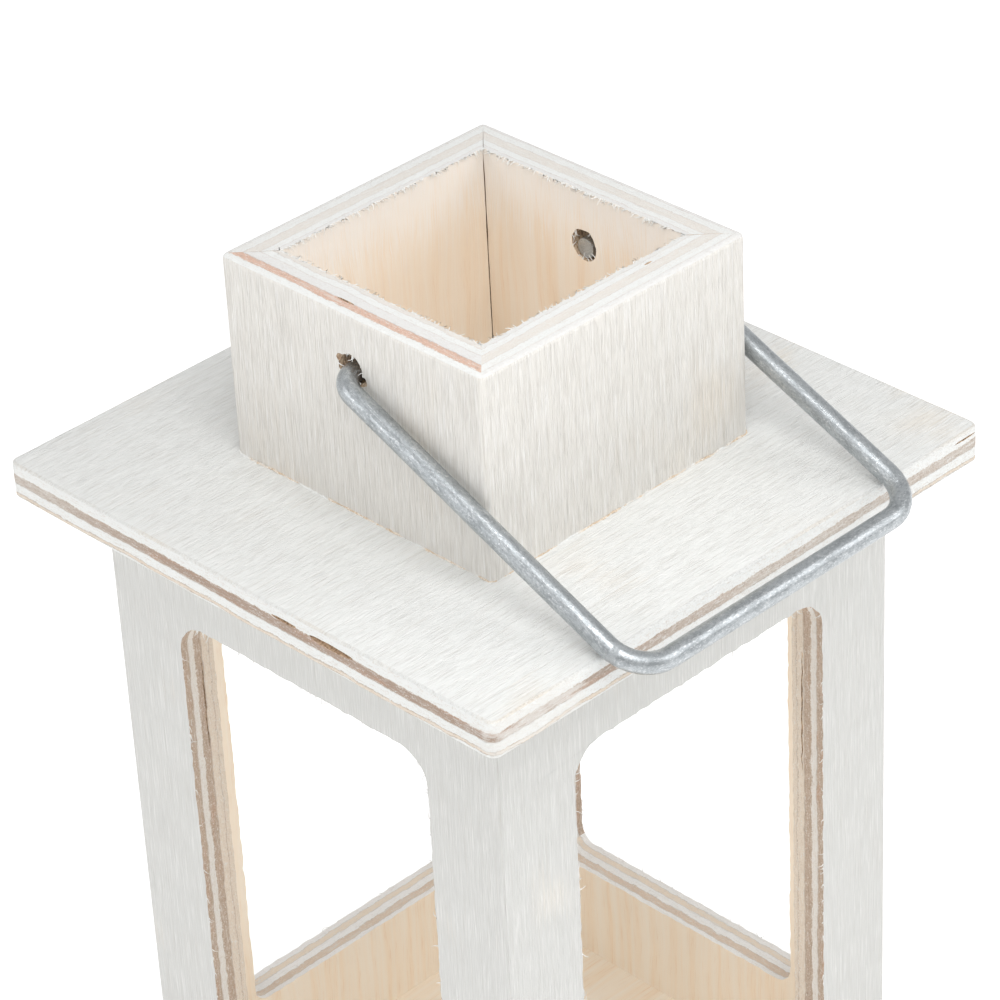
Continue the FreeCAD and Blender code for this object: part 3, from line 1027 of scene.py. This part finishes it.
# %% One board of the chimney
CHIMNEY_ARRIS = 1.0 * MM
CHIMNEY_ROWS = 24
RIM_EASE = 0.8 * MM
RIM_STEP = 0.8 * MM
RIM_SHORTEST = 20 * MM


def model_chimney_blank():
    tube = model_tube("chimney_blank", CHIMNEY_HALF, wall_low.z, wall_high.z, CHIMNEY_ARRIS, CHIMNEY_ROWS)

    def on_outer_rim(edge):
        return lies(edge, 2, wall_high.z) and all(
            max(abs(corner.co.x), abs(corner.co.y)) > CHIMNEY_HALF - CHIMNEY_ARRIS for corner in edge.verts
        ) and len(edge.link_faces) == 2 and any(abs(face.normal.z) < 0.5 for face in edge.link_faces)

    pick(tube, "EDGE", on_outer_rim)
    bpy.ops.mesh.bevel(offset=RIM_EASE, segments=3, affect="EDGES")
    return saw_mitres(tube)


chimney_blank = model_chimney_blank()
pick(chimney_blank, "EDGE", lambda edge: runs(edge, 0) and edge.calc_length() > RIM_SHORTEST)
bpy.ops.mesh.subdivide(number_cuts=cuts_for(2 * CHIMNEY_HALF - 2 * BOARD, RIM_STEP))
only(chimney_blank)
print("chimney blank:", len(chimney_blank.data.polygons), "faces")

# %% The four boards of the chimney
RIM_VOIDS = {
    "front": (((-2.6, -23.9, 164.0), (1.8, 0.2, 0.7)),),
    "right": (((10.9, -21.8, 164.0), (0.8, 0.18, 0.5)),),
}
CHIMNEY_SEED = 200
CHIMNEY_SHEET = 20
HOLE_RADIUS = 2.5 * MM
HOLE_SIDES = 36
HOLE_HEIGHT = wall_low.z + 24 * MM
CHIMNEY_GAPE = 0.17 * MM
CHIMNEY_NOTCH = 0.07 * MM
HOLE_TEARS = (((1.9, 0.0, -0.9), (1.2, 0.9, 1.0)), ((-1.8, 0.0, 1.2), (1.0, 0.7, 0.8)))
HOLE_FIBRES = 24
RIM_FIBRES = 170


def facing_rim(normal, place):
    """For a board of the chimney, whose upper edge is the rim."""
    return SAWN if normal.z > 0.6 else facing_upright(normal, place)


def on_inner_rim(place):
    return near(place.z, wall_high.z) and near(place.y, -CHIMNEY_HALF + BOARD)


def on_hole(place):
    reach = math.hypot(place.x, place.z - HOLE_HEIGHT)
    return reach < HOLE_RADIUS + NEAR


def hole_roots(board, draw):
    rims = (-CHIMNEY_HALF, -CHIMNEY_HALF + BOARD)
    edge = [point.co.copy() for point in board.data.vertices
            if on_hole(point.co) and any(near(point.co.y, rim) for rim in rims)]
    roots = []
    for place in draw.choices(edge, k=HOLE_FIBRES):
        inward = Vector((-place.x, 0, HOLE_HEIGHT - place.z)).normalized()
        loose = Vector((draw.uniform(-1, 1), 0.3 * draw.uniform(-1, 1), draw.uniform(-1, 1)))
        roots.append((place, (inward + 0.7 * loose).normalized(), 0.9))
    return roots


def rim_roots(board, draw):
    """Random places on the inner edge of the rim, with short fibres that lean inwards and mostly droop."""
    edge = [point.co.copy() for point in board.data.vertices if on_inner_rim(point.co)]
    roots = []
    for place in draw.choices(edge, k=RIM_FIBRES):
        way = Vector((draw.uniform(-1, 1), draw.uniform(0.2, 1), draw.uniform(-0.6, 0.15)))
        spread = Vector((draw.uniform(-0.4, 0.4) * MM, 0, 0))
        roots.append((place + spread, way.normalized(), 0.8))
    return roots


def make_chimney_board(side, number):
    draw = random.Random(CHIMNEY_SEED + number)
    sheet = CHIMNEY_SHEET + number
    board = copy_of(chimney_blank, "chimney_" + side + "_board")
    edge = front_rim_edge if side == "front" else rim_edge
    paint_board(board, chimney_wash, chimney_birch, edge, worn_arris, facing_rim)
    roots = rim_roots(board, draw)
    for place, size in RIM_VOIDS.get(side, ()):
        open_void(board, place, size)
    if side in ("front", "back"):
        middle = (0, -CHIMNEY_HALF + BOARD / 2, HOLE_HEIGHT)
        bore(board, HOLE_RADIUS, HOLE_SIDES, middle, "Y", raw_wood)
        roots += hole_roots(board, draw)
        for place, size in HOLE_TEARS:
            open_void(board, Vector(place) + Vector((0, -CHIMNEY_HALF, HOLE_HEIGHT)) / MM, size)
    store_place(board, X, Z, Y, -CHIMNEY_HALF, sheet)
    fray(board, on_inner_rim, number, (0, 1, 0.6), 0.8)
    fray(board, on_hole, number, (1, 0, 1), 1.1)
    open_mitres(board, CHIMNEY_HALF, wall_high.z, CHIMNEY_GAPE, CHIMNEY_NOTCH, sheet)
    soften(board)
    flatten(board)
    plant_fibres(board, roots, draw)
    for point in board.data.vertices:
        point.co.z = min(point.co.z, wall_high.z)
    turn_to_side(board, side)
    dress(board, "chimney_" + side, "lantern")
    return board


chimney = [make_chimney_board(side, number) for number, side in enumerate(SIDES)]
bpy.data.objects.remove(chimney_blank)
bpy.data.objects.remove(fibre)
print("chimney:", [len(board.data.polygons) for board in chimney], "faces")

# %% [markdown]
# ## Glue at the chimney's foot
#
# The chimney is glued to the roof, and along its foot the glue and the torn edge of the veneer show as a thin
# crumbly line. It is made as a bead: the chimney's outline as a wire edge, cut into short lengths, turned
# into a curve with a round section, and back into a mesh whose points are then roughened.

# %% The crumbly bead
BEAD_RADIUS = 0.20 * MM
BEAD_STEP = 0.45 * MM
BEAD_ROUGH = 0.22 * MM


def make_crumb_finish(name):
    finish = Finish(name, Specular_IOR_Level=0.1, Roughness=0.95)
    crumbs = finish.noise(finish.spot(), (0.5, 0.5, 0.5), 3.0, 0.7)
    patches = finish.noise(finish.spot(), (5.0, 5.0, 5.0), 2.0, 0.6)
    colour = finish.mix(finish.step(crumbs, 0.40, 0.62), paint(214, 192, 166), paint(236, 226, 212))
    colour = finish.mix(finish.step(patches, 0.46, 0.6), colour, WASH)
    return finish.wear(Base_Color=colour, Normal=finish.bump(crumbs, 0.2))


def model_bead():
    let_go()
    bpy.ops.mesh.primitive_plane_add(size=2 * CHIMNEY_HALF, location=(0, 0, wall_low.z))
    bead = settle(bpy.context.object, "glue_bead")
    pick(bead, "VERT", lambda corner: True)
    bpy.ops.mesh.bevel(offset=CHIMNEY_ARRIS, segments=5, affect="VERTICES")
    pick(bead, "EDGE", lambda edge: edge.calc_length() > CHIMNEY_ARRIS)
    bpy.ops.mesh.subdivide(number_cuts=cuts_for(2 * CHIMNEY_HALF, BEAD_STEP))
    pick(bead, "FACE", lambda face: True)
    bpy.ops.mesh.delete(type="ONLY_FACE")
    only(bead)
    bpy.ops.object.convert(target="CURVE")
    bead.data.bevel_depth = BEAD_RADIUS
    bead.data.bevel_resolution = 1
    bpy.ops.object.convert(target="MESH")
    for point in bead.data.vertices:
        point.co += BEAD_ROUGH * waver(point.co, 0.7 * MM, 3) + BEAD_ROUGH * waver(point.co, 3 * MM, 4)
    return bead


bead = model_bead()
bead.data.materials.append(make_crumb_finish("glue_crumbs"))
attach(bead, "lantern")
print("bead:", len(bead.data.polygons), "faces")

# %% [markdown]
# ## The wire bail
#
# The bail is one wire with four bends: two elbows that go into the chimney's holes and two rounder corners at
# the handle. A curve with a round bevel would do, but the hand-made way is closer to bending wire: a disc is
# pushed along each straight run and spun round each bend. It is made lying flat at the height of its pivot,
# and then dropped until it rests on the edge of the roof, as it does in the frame.

# %% Bend the wire
bail_low, bail_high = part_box("wire_bail")
hinge = frame["joints"][0]
pivot = Vector(hinge["pos_m"])
WIRE_RADIUS = 1.6 * MM
WIRE_SIDES = 24
STUB_TIP = 20.45 * MM
ARM_PLACE = 28.65 * MM
REACH = 61 * MM
ELBOW = 3.2 * MM
CORNER = 6 * MM
DIP = math.radians(23.107)


def push(way, length):
    bpy.ops.mesh.extrude_region_move(TRANSFORM_OT_translate={"value": tuple(length * part for part in way)})


def bend(centre, steps):
    """Spins the end of the wire a quarter turn to the left, seen from above."""
    bpy.ops.mesh.spin(steps=steps, angle=-math.radians(90), center=centre, axis=(0, 0, 1))


def model_bail():
    let_go()
    start = pivot + Vector((0, -STUB_TIP, 0))
    upright = (math.radians(90), 0, 0)
    bpy.ops.mesh.primitive_circle_add(
        vertices=WIRE_SIDES, radius=WIRE_RADIUS, fill_type="NGON", location=start, rotation=upright
    )
    wire = settle(bpy.context.object, "bail_wire")
    pick(wire, "FACE", lambda face: True)
    side = ARM_PLACE - ELBOW
    push(-Y, side - STUB_TIP)
    bend(pivot + Vector((ELBOW, -side, 0)), 8)
    push(X, REACH - ELBOW - CORNER)
    side = ARM_PLACE - CORNER
    bend(pivot + Vector((REACH - CORNER, -side, 0)), 10)
    push(Y, 2 * side)
    bend(pivot + Vector((REACH - CORNER, side, 0)), 10)
    push(-X, REACH - ELBOW - CORNER)
    side = ARM_PLACE - ELBOW
    bend(pivot + Vector((ELBOW, side, 0)), 8)
    push(-Y, side - STUB_TIP)
    return wire


bail = model_bail()
bail_sides = [round(side / MM, 1) for side in bail_high - bail_low]
print("wire:", len(bail.data.polygons), "faces, to lie in a box of mm", bail_sides)

# %% Drop the bail on the roof's edge and cut its ends clean
WIRE_EASE = 0.2 * MM


def drop_bail():
    """Eases the wire's ends and turns the flat bail down about its pivot, which is a negative turn here."""
    pick(bail, "FACE", lambda face: len(face.verts) > 4)
    bpy.ops.mesh.bevel(offset=WIRE_EASE, segments=2, affect="EDGES")
    bpy.ops.mesh.select_all(action="SELECT")
    bpy.ops.mesh.normals_make_consistent(inside=False)
    bpy.ops.transform.rotate(value=-DIP, orient_axis="Y", orient_type="GLOBAL", center_override=pivot)
    only(bail)


def wire_place(place):
    """Across, along and through the wire: the arms run out from the pivot, the handle runs along Y."""
    flat = Quaternion(Y, -DIP) @ (place - pivot)
    if flat.x > REACH - CORNER * 0.7 or flat.x < ELBOW * 0.3:
        return Vector((flat.x, flat.y, flat.z))
    return Vector((flat.y, flat.x, flat.z))


drop_bail()
bail.data.materials.append(zinc)
attribute = bail.data.attributes.new("board_place", "FLOAT_VECTOR", "POINT")
attribute.data.foreach_set("vector", [part for point in bail.data.vertices for part in wire_place(point.co)])
soften(bail, 40)
dress(bail, "wire_bail", "bail")
print("bail:", len(bail.data.polygons), "faces")

# %% [markdown]
# ## Floor, light and camera
#
# The photograph is a bright studio picture with no horizon, so the floor is plain and white and glows a
# little. A white sky lights everything evenly, and three softboxes shape it: a small one overhead, a large
# one from behind on the right and one from the left front. The camera is a long lens from above the right
# front corner.

# %% The floor
FLOOR_SIZE = 6.0
FLOOR_GLOW = 0.45


def make_floor():
    let_go()
    bpy.ops.mesh.primitive_plane_add(size=FLOOR_SIZE, location=(0, 0, base_low.z))
    floor = settle(bpy.context.object, "floor")
    glow = {"Emission_Color": (1, 1, 1, 1), "Emission_Strength": FLOOR_GLOW}
    finish = Finish("pale_floor", Specular_IOR_Level=0.0, Roughness=1.0, **glow)
    clouds = finish.noise(finish.spot(), (400.0, 400.0, 400.0))
    colour = finish.mix(clouds, paint(254, 254, 254), paint(253, 253, 253))
    floor.data.materials.append(finish.wear(Base_Color=colour))


make_floor()
print("floor laid")

# %% The lights
SKY = 0.63


def add_softbox(name, place, aim, width, power):
    lamp = bpy.data.lights.new(name, "AREA")
    lamp.shape = "SQUARE"
    lamp.size = width
    lamp.energy = power
    softbox = bpy.data.objects.new(name, lamp)
    softbox.location = place
    softbox.rotation_euler = (Vector(aim) - Vector(place)).to_track_quat("-Z", "Y").to_euler()
    bpy.context.collection.objects.link(softbox)


world = bpy.data.worlds.new("studio")
world.use_nodes = True
world.node_tree.nodes["Background"].inputs["Color"].default_value = (1.0, 1.0, 1.0, 1.0)
world.node_tree.nodes["Background"].inputs["Strength"].default_value = SKY
bpy.context.scene.world = world
middle = Vector((0, 0, roof_low.z))
add_softbox("overhead", (0.14, -0.09, 0.38), middle, 0.2, 0.40)
add_softbox("right", (0.9, 0.75, 0.85), middle, 0.8, 3.8)
add_softbox("left_front", (-0.55, -1.2, 0.75), middle, 0.6, 2.5)
bpy.context.scene.view_settings.view_transform = "Standard"
print("lights: sky and three softboxes")

# %% The camera
VIEW_AZIMUTH = math.radians(46.617)
VIEW_ELEVATION = math.radians(32.478)
VIEW_ROLL = math.radians(-3.021)
VIEW_DISTANCE = 610.7 * MM
VIEW_AIM = Vector((0.41, 0.44, 120.95)) * MM
LENS = 150.22


def add_camera():
    flat = math.cos(VIEW_ELEVATION)
    away = Vector((flat * math.sin(VIEW_AZIMUTH), -flat * math.cos(VIEW_AZIMUTH), math.sin(VIEW_ELEVATION)))
    lens = bpy.data.cameras.new("camera")
    lens.lens = LENS
    lens.sensor_width = 36
    lens.clip_start = 0.01
    camera = bpy.data.objects.new("camera", lens)
    camera.location = VIEW_AIM + VIEW_DISTANCE * away
    turn = (-away).to_track_quat("-Z", "Y") @ Quaternion(Z, VIEW_ROLL)
    camera.rotation_mode = "QUATERNION"
    camera.rotation_quaternion = turn
    bpy.context.collection.objects.link(camera)
    bpy.context.scene.camera = camera
    return camera


camera = add_camera()
print("camera at mm", [round(part / MM, 1) for part in camera.location])
